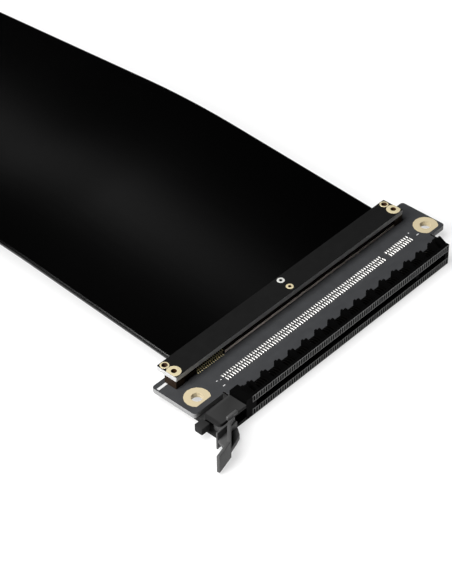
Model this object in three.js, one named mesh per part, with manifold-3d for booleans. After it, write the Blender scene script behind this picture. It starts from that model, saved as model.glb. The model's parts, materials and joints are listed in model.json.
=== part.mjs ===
/**
 * Riser cable for an expansion card: a board with a sixteen-lane card slot and its
 * retention latch, a wide flat cable, and a plug board with the matching card tongue.
 *
 * Units are millimetres. The slot frame has X along the slot, Y toward the cable and
 * Z up, with its origin midway along the slot on the main board's top face.
 */
import * as THREE from 'three';
import { mergeVertices } from 'three/addons/utils/BufferGeometryUtils.js';
import Module from 'manifold-3d';

const wasm = await Module();
wasm.setup();

// Clearances between separate pieces.
const seat = 0.02;
const slip = 0.1;

// Main board.
const boardThick = 1.6;
const boardLeft = -58.3;
const boardRight = 54.1;
const boardFront = -3.4;
const boardBack = 13.4;
const boardCorner = 1.0;
const boardMid = -boardThick / 2;

// Card interface: tongue and key of a sixteen-lane card.
const cardThick = 1.6;
const tongueLength = 85.2;
const tongueDepth = 8.45;
const keySegment = 11.65;
const keyNotch = 1.9;
const keyDepth = 7.9;
const keyX = tongueLength / 2 - keySegment - keyNotch / 2;
const tongueBevel = 0.5;
const tongueBevelRun = 1.3;

// Slot housing.
const slotLength = 89;
const slotHeight = 7.4;
const slotBack = boardFront - slip;
const slotDepth = 8.85;
const slotMouth = slotBack - slotDepth;
const slotTop = boardMid + slotHeight / 2;
const slotBottom = boardMid - slotHeight / 2;
const cavityHalf = cardThick / 2 + 0.06;
const cavityLength = tongueLength + 0.2;
const cavityDepth = tongueDepth + 0.1;
const leadIn = 0.4;
const rimThick = 0.95;
const bayRoof = 0.55;
const deckHalf = cavityHalf + bayRoof;
const deckFront = slotMouth + 5.2;
const deckOverhang = 2.5;
const ribCount = 15;
const ribPitch = 5.83;
const ribThick = 0.7;
const ribPeak = 1.2;
const ribPeakY = slotMouth + 3.4;
const ribFootY = slotMouth + 1.2;
const keyBar = keyNotch - 0.2;

// Fork at the slot's far end that carries the latch.
const forkLeft = -57.7;
const forkRight = -45;
const forkFront = slotMouth;
const forkBack = slotMouth + 6.4;
const forkTop = slotTop - 1.5;
const forkUpperUnder = deckHalf + boardMid - 0.3;
const forkLowerTop = slotBottom + 1.1;
const forkWall = 0.9;
const forkCorner = 1.0;
const endBlockLeft = -46.8;
const stopPeg = { length: 3.4, y0: -9, y1: -6, half: 1.0 };

// Latch lever.
const latchX = -54.6;
const latchY = -9.6;
const latchBossR = 1.9;
const latchPinR = 0.9;
const latchPinLength = 0.8;
const latchBoreR = latchPinR + slip;
const latchTop = forkTop + 0.95;
const latchBottom = slotBottom + 0.45;
const latchFlange = 0.8;
const latchNear = forkFront - 0.35;

// Plated mounting holes of the main board.
const mountHoleR = 1.8;
const mountPadR = 3.95;
const platingThick = 0.15;
const padThick = 0.06;
const mountHoles = [
  { name: 'left_mount_eyelet', x: -52.7, y: 1.0, chord: -1.6 },
  { name: 'right_mount_eyelet', x: 49.9, y: 0.9, chord: -2.3 },
];

// Cable strip and the two connector halves under it.
const stripLeft = -54.3;
const stripRight = 46.6;
const stripFront = 7.4;
const stripBack = 15.05;
const stripThick = 1.6;
const stackHeight = 2.9;
const stackSplit = 1.5;
const stackBack = 12.0;
const blockFront = 7.5;
const blockInnerLeft = -50.9;
const blockInnerRight = 42.9;
const stackRight = 46.5;
const socketFront = 8.0;
const strandFront = 8.6;

// Eyelets of the strip.
const largeEyelet = { bore: 0.9, tube: 1.25, flange: 2.2, rim: 0.12, y: 9.8 };
const smallEyelet = { bore: 0.95, tube: 1.15, flange: 1.42, rim: 0.1, y: 13.45 };
const middleEyelet = { bore: 0.55, tube: 0.8, flange: 1.2, rim: 0.06 };
const eyeletLeft = -52.7;
const eyeletRight = 44.9;
const middleBack = { x: -3.3, y: 13.4 };
const middleFront = { x: -3.6, y: 9.6 };
const eyeletSides = 16;

// Flat cable.
const cableLeft = -48.0;
const cableRight = 43.6;
const cableLength = 198.5;
const cableBend = 40;
const cableRise = 0.0648;
const cableStart = stripBack + 0.95;
const cableStartZ = 1.54;
const cableSteps = 24;
const sheathThick = 1.9;
const sheathWall = 0.3;
const signalThick = 0.45;
const signalOffset = 0.31;
const signalSide = 1.6;
const signalLandBack = 13.2;

// Plug board.
const plugShoulder = 1.0;
const plugMargin = 1.0;
const hook = { inner: 4.9, outer: 8.9, reach: 5.2, neck: 1.6, barb: 3.4 };
const plugDrop = -slotBottom - boardThick - largeEyelet.rim;

/** Cable centre line in a plane across X, by arc length: rise, bend, fall. */
class CableRoute extends THREE.Curve {
  constructor() {
    super();
    this.pitch = Math.atan(cableRise);
    const fallExtra = plugDrop / Math.sin(this.pitch);
    this.rise = (cableLength - cableBend - fallExtra) / 2;
    this.radius = cableBend / (2 * this.pitch);
  }

  getPoint(t, target = new THREE.Vector3()) {
    const s = t * cableLength;
    const risen = Math.min(s, this.rise);
    const bent = Math.min(Math.max(s - this.rise, 0), cableBend) / this.radius;
    const fallen = Math.max(s - this.rise - cableBend, 0);
    const turn = this.pitch - bent;
    const arcY = this.radius * (Math.sin(this.pitch) - Math.sin(turn));
    const arcZ = this.radius * (Math.cos(turn) - Math.cos(this.pitch));
    const y = risen * Math.cos(this.pitch) + arcY + fallen * Math.cos(this.pitch);
    const z = risen * Math.sin(this.pitch) + arcZ - fallen * Math.sin(this.pitch);
    return target.set((cableLeft + cableRight) / 2, cableStart + y, cableStartZ + z);
  }
}

const route = new CableRoute();
const routeEnd = route.getPoint(1);
const plugOrigin = routeEnd.y + cableStart;

// The two ends of the cable. `y` and `z` carry slot-end coordinates to that end.
const slotEnd = { prefix: 'slot', y: (v) => v, z: (v) => v };
const plugEnd = { prefix: 'plug', y: (v) => plugOrigin - v, z: (v) => v - plugDrop };

/** A closed solid from a three.js geometry, always facing outward. */
function solid(geometry) {
  const bare = geometry.index ? geometry.toNonIndexed() : geometry.clone();
  bare.deleteAttribute('normal');
  bare.deleteAttribute('uv');
  const merged = mergeVertices(bare, 1e-4);
  const mesh = new wasm.Mesh({
    numProp: 3,
    vertProperties: new Float32Array(merged.attributes.position.array),
    triVerts: new Uint32Array(merged.index.array),
  });
  return new wasm.Manifold(mesh);
}

/** A box between two corners, given in any order. */
function block(x0, x1, y0, y1, z0, z1) {
  const geometry = new THREE.BoxGeometry(Math.abs(x1 - x0), Math.abs(y1 - y0), Math.abs(z1 - z0));
  geometry.translate((x0 + x1) / 2, (y0 + y1) / 2, (z0 + z1) / 2);
  return solid(geometry);
}

/** An outline in plan, with round holes, between two heights. */
function plate(points, z0, z1, holes = []) {
  const outline = points.map(([x, y]) => new THREE.Vector2(x, y));
  if (THREE.ShapeUtils.isClockWise(outline)) {
    outline.reverse();
  }
  const shape = new THREE.Shape(outline);
  for (const hole of holes) {
    const path = new THREE.Path();
    path.absarc(hole.x, hole.y, hole.r, 0, 2 * Math.PI, true);
    shape.holes.push(path);
  }
  const depth = Math.abs(z1 - z0);
  const options = { depth, bevelEnabled: false, curveSegments: eyeletSides / 2 };
  const geometry = new THREE.ExtrudeGeometry(shape, options);
  geometry.translate(0, 0, Math.min(z0, z1));
  return solid(geometry);
}

/** A profile in Y and Z, drawn out along X. */
function bar(points, x0, x1) {
  const shape = new THREE.Shape(points.map(([y, z]) => new THREE.Vector2(y, z)));
  const geometry = new THREE.ExtrudeGeometry(shape, { depth: x1 - x0, bevelEnabled: false });
  const turn = new THREE.Matrix4().makeBasis(
    new THREE.Vector3(0, 1, 0),
    new THREE.Vector3(0, 0, 1),
    new THREE.Vector3(1, 0, 0),
  );
  geometry.applyMatrix4(turn);
  geometry.translate(x0, 0, 0);
  return solid(geometry);
}

/** A turned piece on a vertical axis; the profile lists radius and height. */
function turned(profile, x, y, sides = eyeletSides) {
  const points = profile.map(([r, z]) => new THREE.Vector2(r, z));
  const geometry = new THREE.LatheGeometry(points, sides);
  geometry.rotateX(Math.PI / 2);
  geometry.translate(x, y, 0);
  return solid(geometry);
}

/** An upright round pin or bore. */
function post(x, y, radius, z0, z1) {
  return turned([[0, z0], [radius, z0], [radius, z1], [0, z1]], x, y);
}

/** A rectangle's outline with rounded corners. */
function roundedRect(x0, x1, y0, y1, radius, steps = 4) {
  const corners = [
    [x1 - radius, y1 - radius, 0],
    [x0 + radius, y1 - radius, 1],
    [x0 + radius, y0 + radius, 2],
    [x1 - radius, y0 + radius, 3],
  ];
  const points = [];
  for (const [cx, cy, quarter] of corners) {
    for (let i = 0; i <= steps; i += 1) {
      const angle = (quarter + i / steps) * Math.PI / 2;
      points.push([cx + radius * Math.cos(angle), cy + radius * Math.sin(angle)]);
    }
  }
  return points;
}

/** The same outline moved to one end of the cable. */
function outlineAt(end, points) {
  return points.map(([x, y]) => [x, end.y(y)]);
}

/** A box moved to one end of the cable. */
function blockAt(end, x0, x1, y0, y1, z0, z1) {
  return block(x0, x1, end.y(y0), end.y(y1), end.z(z0), end.z(z1));
}

const group = new THREE.Group();
group.name = 'gpu_riser_cable';

/** Adds a finished solid to the group as one named piece. */
function addPiece(name, body, colour, roughness = 0.5, metalness = 0) {
  const mesh = body.getMesh();
  const geometry = new THREE.BufferGeometry();
  geometry.setAttribute('position', new THREE.BufferAttribute(mesh.vertProperties, 3));
  geometry.setIndex(new THREE.BufferAttribute(mesh.triVerts, 1));
  geometry.computeVertexNormals();
  const material = new THREE.MeshStandardMaterial({ color: colour, roughness, metalness });
  const piece = new THREE.Mesh(geometry, material);
  piece.name = name;
  group.add(piece);
}

/** Holes in the main board or the plug board for the large eyelets. */
function stackHoles(end) {
  const r = largeEyelet.tube + seat;
  return [eyeletLeft, eyeletRight].map((x) => ({ x, y: end.y(largeEyelet.y), r }));
}

function buildMainBoard() {
  const outline = roundedRect(boardLeft, boardRight, boardFront, boardBack, boardCorner);
  const holes = mountHoles.map(({ x, y }) => ({ x, y, r: mountHoleR + platingThick + seat }));
  const body = plate(outline, -boardThick, 0, [...holes, ...stackHoles(slotEnd)]);
  addPiece('main_board', body, 0x3c3e41);
}

/** Plated hole with a pad on both faces, the pad cut straight beside the slot. */
function buildMountEyelet({ name, x, y, chord }) {
  const tube = mountHoleR + platingThick;
  const upper = padThick;
  const lower = -boardThick - padThick;
  const ring = turned([
    [mountHoleR, lower], [mountPadR, lower], [mountPadR, -boardThick],
    [tube, -boardThick], [tube, 0], [mountPadR, 0], [mountPadR, upper], [mountHoleR, upper],
    [mountHoleR, lower],
  ], x, y);
  const keep = block(x - mountPadR - 1, x + mountPadR + 1, chord, y + mountPadR + 1, lower, upper);
  addPiece(name, ring.intersect(keep), 0xe6d3ac, 0.3, 1);
}

/** Sloping profile of a rib or an end wall over the bays. */
function ribProfile() {
  const floor = boardMid + deckHalf;
  return [
    [slotMouth + rimThick / 2, floor - slip],
    [slotMouth + rimThick / 2, slotTop],
    [ribFootY, slotTop],
    [ribPeakY, slotTop + ribPeak],
    [ribPeakY + 0.5, slotTop + ribPeak],
    [deckFront - slip, floor],
    [deckFront - slip, floor - slip],
  ];
}

/** Cavity that takes the card's tongue, with a sloping lead-in at the mouth. */
function cardCavity() {
  const back = slotMouth + cavityDepth;
  const profile = [
    [slotMouth - 1, boardMid - cavityHalf - leadIn],
    [slotMouth, boardMid - cavityHalf - leadIn],
    [slotMouth + leadIn, boardMid - cavityHalf],
    [back, boardMid - cavityHalf],
    [back, boardMid + cavityHalf],
    [slotMouth + leadIn, boardMid + cavityHalf],
    [slotMouth, boardMid + cavityHalf + leadIn],
    [slotMouth - 1, boardMid + cavityHalf + leadIn],
  ];
  const half = cavityLength / 2;
  const open = bar(profile, -half, half);
  const key = block(
    keyX - keyBar / 2, keyX + keyBar / 2, slotMouth + leadIn, back + 1, slotBottom, slotTop,
  );
  return open.subtract(key);
}

/** Open bays above and below the contacts, left between the ribs. */
function cutBays(body) {
  const inner = slotMouth + rimThick;
  const floor = boardMid + deckHalf;
  const under = boardMid - deckHalf;
  const half = cavityLength / 2;
  const edges = [-half];
  for (let i = 0; i < ribCount; i += 1) {
    const centre = (i - (ribCount - 1) / 2) * ribPitch;
    edges.push(centre - ribThick / 2, centre + ribThick / 2);
  }
  edges.push(half);
  let result = body;
  for (let i = 0; i < edges.length; i += 2) {
    const upper = block(edges[i], edges[i + 1], inner, deckFront + 1, floor, slotTop + 5);
    const lower = block(edges[i], edges[i + 1], inner, deckFront + 1, slotBottom - 1, under);
    result = result.subtract(upper).subtract(lower);
  }
  return result;
}

/** Fork that carries the latch: two plates, a back wall, an end block and a stop peg. */
function buildFork() {
  const outline = roundedRect(forkLeft, forkRight, forkFront, forkBack, forkCorner);
  const upper = plate(outline, forkUpperUnder, forkTop);
  const lower = plate(outline, slotBottom, forkLowerTop);
  const wall = block(
    forkLeft + forkCorner, forkRight, forkBack - forkWall, forkBack, slotBottom, forkTop,
  );
  const end = block(endBlockLeft, -slotLength / 2 + 1, forkFront, forkBack, slotBottom, slotTop);
  const peg = block(
    forkLeft - stopPeg.length, forkLeft + 2, stopPeg.y1 - forkWall, stopPeg.y1,
    boardMid - stopPeg.half, boardMid + stopPeg.half,
  );
  const bore = post(latchX, latchY, latchBoreR, forkLowerTop - latchPinLength - seat,
    forkUpperUnder + latchPinLength + seat);
  return upper.add(lower).add(wall).add(end).add(peg).subtract(bore);
}

function buildSlotHousing() {
  const half = slotLength / 2;
  const deck = half + deckOverhang;
  const front = block(-half, half, slotMouth, deckFront, slotBottom, slotTop);
  const rear = block(-deck, deck, deckFront - slip, slotBack, boardMid - deckHalf, boardMid + deckHalf);
  const ridge = bar(ribProfile(), -half, half);
  const body = cutBays(front.add(ridge).add(rear).subtract(cardCavity()));
  addPiece('slot_housing', body.add(buildFork()), 0x141414);
}

/** Plan of the lever beyond the fork: spine, finger plate and tip. */
const leverSpine = [
  [-51.2, latchNear], [-52.4, latchNear - 1.9], [-54.3, latchNear - 3.9], [-57.6, latchNear - 4.6],
  [-61.4, latchNear - 7.6], [-65.9, latchNear - 11.3], [-71.4, latchNear - 12.5],
  [-72.0, latchNear - 11.4], [-68.6, latchNear - 8.7], [-66.4, latchNear - 6.9],
  [-65.3, latchNear - 5.2], [-62.8, latchNear - 2.7], [-60.6, latchNear - 1.8],
  [-57.6, latchNear - 1.2], [-56.4, latchNear - 0.8], [-54.9, latchNear - 0.1],
  [-54.4, latchNear],
];
const leverWeb = [
  [-53.2, latchNear], [-54.6, latchNear - 1.6], [-59.2, latchNear - 4.9], [-63.9, latchNear - 9.6],
  [-66.2, latchNear - 11.1], [-71.3, latchNear - 12.3], [-71.7, latchNear - 11.6],
  [-66.9, latchNear - 9.9], [-64.6, latchNear - 8.3], [-60.1, latchNear - 3.9],
  [-55.6, latchNear - 0.5], [-54.9, latchNear - 0.1], [-54.4, latchNear],
];

/** Retention lever: root and trunnions in the fork, flanged spine outside it. */
function buildLatch() {
  const rootTop = forkUpperUnder - slip;
  const rootBottom = forkLowerTop + slip;
  const boss = post(latchX, latchY, latchBossR, rootBottom, rootTop);
  const arm = plate([
    [latchX - latchBossR, latchY], [latchX + latchBossR, latchY],
    [-52.2, latchNear - 0.6], [-56.0, latchNear - 0.6],
  ], rootBottom, rootTop);
  const pins = post(latchX, latchY, latchPinR, rootBottom - latchPinLength, rootTop + latchPinLength);
  const top = plate(leverSpine, latchTop - latchFlange, latchTop);
  const foot = plate(leverSpine, latchBottom, latchBottom + latchFlange);
  const web = plate(leverWeb, latchBottom, latchTop);
  addPiece('slot_latch', boss.add(arm).add(pins).add(top).add(foot).add(web), 0x5a5a5a, 0.55);
}

/** One connector half of the stack: end blocks and a set-back middle. */
function stackHalf(end, middleFrontY, z0, z1) {
  const outline = outlineAt(end, [
    [stripLeft, blockFront], [blockInnerLeft, blockFront], [blockInnerLeft, middleFrontY],
    [blockInnerRight, middleFrontY], [blockInnerRight, blockFront], [stackRight, blockFront],
    [stackRight, stackBack], [stripLeft, stackBack],
  ]);
  return plate(outline, end.z(z0), end.z(z1), stackHoles(end));
}

/** Ring with a tube through the piece below it; `foot` adds a lower rim. */
function eyelet(end, size, x, y, through, foot) {
  const top = end.z(stackHeight + stripThick);
  const base = top - through;
  const profile = [[size.bore, base - foot]];
  if (foot > 0) {
    profile.push([size.flange - 0.4, base - foot], [size.flange - 0.4, base], [size.tube, base]);
  } else {
    profile.push([size.tube, base]);
  }
  profile.push(
    [size.tube, top], [size.flange, top], [size.flange, top + size.rim * 0.5],
    [size.tube + 0.2, top + size.rim], [size.bore, top + size.rim], [size.bore, base - foot],
  );
  return turned(profile, x, end.y(y));
}

/** The strip, the connector halves and the eyelets at one end of the cable. */
function buildStack(end) {
  const { prefix } = end;
  const socket = stackHalf(end, socketFront, seat, stackSplit);
  addPiece(`${prefix}_board_socket`, socket, 0x17130f);
  const plug = stackHalf(end, strandFront, stackSplit + seat, stackHeight - seat);
  addPiece(`${prefix}_strip_plug`, plug, 0x1b1714);

  const smallR = smallEyelet.tube + seat;
  const middleR = middleEyelet.tube + seat;
  const holes = [
    ...stackHoles(end),
    { x: eyeletLeft, y: end.y(smallEyelet.y), r: smallR },
    { x: eyeletRight, y: end.y(smallEyelet.y), r: smallR },
    { x: middleBack.x, y: end.y(middleBack.y), r: middleR },
    { x: middleFront.x, y: end.y(middleFront.y), r: middleR },
  ];
  const outline = outlineAt(end, roundedRect(stripLeft, stripRight, stripFront, stripBack, 0.3, 2));
  const strip = plate(outline, end.z(stackHeight), end.z(stackHeight + stripThick), holes);
  addPiece(`${prefix}_strip`, strip, 0x2b2b2c);

  const throughAll = stripThick + stackHeight + boardThick;
  const sides = [['left', eyeletLeft], ['right', eyeletRight]];
  for (const [side, x] of sides) {
    const large = eyelet(end, largeEyelet, x, largeEyelet.y, throughAll, largeEyelet.rim);
    const keep = blockAt(end, stripLeft, stripRight, 0, stackBack + 5, -9, 9);
    addPiece(`${prefix}_large_eyelet_${side}`, large.intersect(keep), 0xe6d3ac, 0.3, 1);
    const small = eyelet(end, smallEyelet, x, smallEyelet.y, stripThick, smallEyelet.rim);
    addPiece(`${prefix}_small_eyelet_${side}`, small, 0xe6d3ac, 0.3, 1);
  }
  const back = eyelet(end, middleEyelet, middleBack.x, middleBack.y, stripThick, 0);
  addPiece(`${prefix}_middle_eyelet_back`, back, 0xf0ece2, 0.3, 1);
  const front = eyelet(end, middleEyelet, middleFront.x, middleFront.y, stripThick, 0);
  addPiece(`${prefix}_middle_eyelet_front`, front, 0xe6d3ac, 0.3, 1);
}

/** Flat tube outline with round sides, wound as a shape or as a hole. */
function pill(target, width, thick, steps) {
  const r = thick / 2;
  const run = width / 2 - r;
  const points = [];
  for (let side = 0; side < 2; side += 1) {
    for (let i = 0; i <= steps; i += 1) {
      const angle = -Math.PI / 2 + side * Math.PI + (i / steps) * Math.PI;
      const centre = side === 0 ? run : -run;
      points.push(new THREE.Vector2(centre + r * Math.cos(angle), r * Math.sin(angle)));
    }
  }
  target.setFromPoints(points);
  target.closePath();
  return target;
}

/** Hollow outer sheath along the whole route. */
function buildSheath() {
  const width = cableRight - cableLeft;
  const shape = pill(new THREE.Shape(), width, sheathThick, 6);
  shape.holes.push(pill(new THREE.Path(), width - 2 * sheathWall, sheathThick - 2 * sheathWall, 4));
  const options = { extrudePath: route, steps: cableSteps, bevelEnabled: false };
  addPiece('cable_sheath', solid(new THREE.ExtrudeGeometry(shape, options)), 0x0c0c0d, 0.25);
}

/** Side profile of a signal cable: landing, slope, route, slope and landing. */
function signalCentre(side) {
  const landZ = side > 0
    ? stackHeight - seat - signalThick / 2
    : seat + signalThick / 2;
  const centre = [];
  centre.push([stackBack + 0.2, landZ], [signalLandBack, landZ]);
  for (let i = 0; i <= cableSteps; i += 1) {
    const t = i / cableSteps;
    const point = route.getPointAt(t);
    const tangent = route.getTangentAt(t);
    const shift = side * signalOffset;
    centre.push([point.y - tangent.z * shift, point.z + tangent.y * shift]);
  }
  centre.push(
    [plugEnd.y(signalLandBack), plugEnd.z(landZ)],
    [plugEnd.y(stackBack + 0.2), plugEnd.z(landZ)],
  );
  return centre;
}

/** A flat band of even thickness about a centre line, drawn out along X. */
function band(centre, thick, x0, x1) {
  const upper = [];
  const lower = [];
  for (let i = 0; i < centre.length; i += 1) {
    const before = centre[Math.max(i - 1, 0)];
    const after = centre[Math.min(i + 1, centre.length - 1)];
    const here = new THREE.Vector2(...centre[i]);
    const into = here.clone().sub(new THREE.Vector2(...before));
    const out = new THREE.Vector2(...after).sub(here);
    const tangent = into.normalize().add(out.normalize()).normalize();
    const half = thick / 2;
    upper.push([here.x - tangent.y * half, here.y + tangent.x * half]);
    lower.push([here.x + tangent.y * half, here.y - tangent.x * half]);
  }
  return bar([...lower, ...upper.reverse()], x0, x1);
}

function buildSignalCables() {
  const x0 = cableLeft + signalSide;
  const x1 = cableRight - signalSide;
  addPiece('upper_signal_cable', band(signalCentre(1), signalThick, x0, x1), 0x202124, 0.4);
  addPiece('lower_signal_cable', band(signalCentre(-1), signalThick, x0, x1), 0x202124, 0.4);
}

/** Hook beside the tongue that the far slot's latch holds. */
function hookOutline() {
  const x1 = -tongueLength / 2 - hook.inner;
  const x0 = -tongueLength / 2 - hook.outer;
  const tip = plugShoulder - hook.reach;
  return [
    [x1, plugShoulder + 1], [x1, tip], [x0 + 0.6, tip], [x0, tip + 0.6],
    [x0, plugShoulder - hook.barb], [x1 - hook.neck, plugShoulder - hook.barb + 0.6],
    [x1 - hook.neck, plugShoulder + 1],
  ];
}

/** Plug board: a body under the stack, the keyed card tongue and the hook. */
function buildPlugBoard() {
  const end = plugEnd;
  const z0 = end.z(-boardThick);
  const z1 = end.z(0);
  const body = plate(
    outlineAt(end, roundedRect(
      stripLeft - plugMargin, stripRight + plugMargin, plugShoulder, boardBack, boardCorner,
    )), z0, z1, stackHoles(end),
  );
  const half = tongueLength / 2;
  const tip = plugShoulder - tongueDepth;
  const tongue = blockAt(end, -half, half, plugShoulder + 1, tip, -boardThick, 0);
  const key = blockAt(end, keyX - keyNotch / 2, keyX + keyNotch / 2, tip - 1, tip + keyDepth, -9, 9);
  const arm = plate(outlineAt(end, hookOutline()), z0, z1);
  const edge = end.y(tip);
  const run = end.y(tip + tongueBevelRun);
  const upperCut = bar([[edge, z1 - tongueBevel], [edge + 1, z1 + 1], [run, z1]], -half, half);
  const lowerCut = bar([[edge, z0 + tongueBevel], [run, z0], [edge + 1, z0 - 1]], -half, half);
  const plug = body.add(tongue).add(arm).subtract(key).subtract(upperCut).subtract(lowerCut);
  addPiece('plug_board', plug, 0x3c3e41);
}

buildMainBoard();
mountHoles.forEach(buildMountEyelet);
buildSlotHousing();
buildLatch();
buildStack(slotEnd);
buildSheath();
buildSignalCables();
buildPlugBoard();
buildStack(plugEnd);

// The part's own frame: centred in plan, with Z zero where it stands.
const bounds = new THREE.Box3().setFromObject(group);
const centre = bounds.getCenter(new THREE.Vector3());
for (const piece of group.children) {
  piece.geometry.translate(-centre.x, -centre.y, -bounds.min.z);
}

export default group;
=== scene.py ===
"""Looks of a riser cable: finishes, small repeated metal parts, studio and camera.

Plain sizes are in millimetres of the slot frame. Names that end in _m, vectors, meshes, the
row tree's inputs and the lamps are in metres. The slot frame has X along the slot, Y toward
the cable and Z up, with its origin midway along the slot on the main board's top face. An
EndFrame carries such places to the part's own frame, for the slot end or, mirrored along
the cable, for the plug end.
"""

from __future__ import annotations

import json
import logging
import math
from dataclasses import dataclass, field
from enum import Enum
from typing import Iterable, Sequence

import bmesh
import bpy
from mathutils import Matrix, Vector

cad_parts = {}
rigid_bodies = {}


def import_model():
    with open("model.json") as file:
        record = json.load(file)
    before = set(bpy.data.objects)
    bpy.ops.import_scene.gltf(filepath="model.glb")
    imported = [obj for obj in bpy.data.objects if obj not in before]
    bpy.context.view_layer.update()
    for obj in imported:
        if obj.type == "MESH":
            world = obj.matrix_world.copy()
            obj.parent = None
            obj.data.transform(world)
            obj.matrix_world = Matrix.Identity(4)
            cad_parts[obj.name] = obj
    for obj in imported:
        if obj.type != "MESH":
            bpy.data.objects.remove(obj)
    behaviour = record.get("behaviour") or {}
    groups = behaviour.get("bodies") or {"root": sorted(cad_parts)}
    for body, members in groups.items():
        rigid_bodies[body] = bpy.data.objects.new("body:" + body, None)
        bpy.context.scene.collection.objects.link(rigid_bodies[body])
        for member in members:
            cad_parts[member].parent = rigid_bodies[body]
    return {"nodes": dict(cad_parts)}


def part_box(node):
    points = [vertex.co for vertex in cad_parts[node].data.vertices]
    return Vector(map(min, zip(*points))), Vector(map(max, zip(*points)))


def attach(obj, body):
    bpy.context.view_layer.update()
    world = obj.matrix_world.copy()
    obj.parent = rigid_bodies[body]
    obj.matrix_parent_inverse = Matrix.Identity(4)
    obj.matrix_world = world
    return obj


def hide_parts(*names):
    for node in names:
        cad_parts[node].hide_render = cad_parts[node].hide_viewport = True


LOG = logging.getLogger("riser")
MM = 0.001
MM_PER_M = 1000.0
Point = tuple[float, float, float]
# X and Y limits, and such limits with the underside's height, the height and the edge radius.
Plan = tuple[float, float, float, float]
Block = tuple[Plan, float, float, float]
Path = tuple[tuple[float, float], ...]
Colour = tuple[float, float, float]


class Body(Enum):
    """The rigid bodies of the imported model."""

    RISER = "riser"
    LATCH = "latch"


class Slot(Enum):
    """The record's material slots."""

    BOARD = "board"
    STRIP = "strip"
    HOUSING = "housing"
    LATCH = "latch"
    CONNECTOR = "connector"
    SHEATH = "sheath"
    SIGNAL = "signal"
    GOLD = "gold"
    TIN = "tin"


def shade(colour: Colour, factor: float) -> Colour:
    """Returns a colour made lighter or darker by a factor."""
    return tuple(factor * part for part in colour)


def grey(level: float, tint: Colour = (1.0, 1.0, 1.0)) -> Colour:
    """Returns the linear colour of a screen level.

    Args:
        level: screen brightness from 0 to 255.
        tint: a factor for each channel.
    """
    value = level / 255
    linear = value / 12.92 if value <= 0.04045 else ((value + 0.055) / 1.055) ** 2.4
    return shade(tint, linear)


# Shader graph


class Signal:
    """A shader socket that can be used in plain arithmetic."""

    def __init__(self, graph: "Graph", socket: bpy.types.NodeSocket) -> None:
        self.graph = graph
        self.socket = socket

    def _with(self, operation: str, first: object, second: object) -> "Signal":
        return self.graph.maths(operation, first, second)

    def __add__(self, other: object) -> "Signal":
        return self._with("ADD", self, other)

    def __radd__(self, other: object) -> "Signal":
        return self._with("ADD", other, self)

    def __sub__(self, other: object) -> "Signal":
        return self._with("SUBTRACT", self, other)

    def __rsub__(self, other: object) -> "Signal":
        return self._with("SUBTRACT", other, self)

    def __mul__(self, other: object) -> "Signal":
        return self._with("MULTIPLY", self, other)

    def __rmul__(self, other: object) -> "Signal":
        return self._with("MULTIPLY", other, self)

    def __truediv__(self, other: object) -> "Signal":
        return self._with("DIVIDE", self, other)

    def __rtruediv__(self, other: object) -> "Signal":
        return self._with("DIVIDE", other, self)

    def __pow__(self, other: object) -> "Signal":
        return self._with("POWER", self, other)

    def __neg__(self) -> "Signal":
        return self._with("MULTIPLY", self, -1.0)

    def under(self, limit: object) -> "Signal":
        """Returns 1 where this is less than the limit, else 0."""
        return self._with("LESS_THAN", self, limit)

    def size(self) -> "Signal":
        """Returns the value without its sign."""
        return self._with("ABSOLUTE", self, 0.0)


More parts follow.
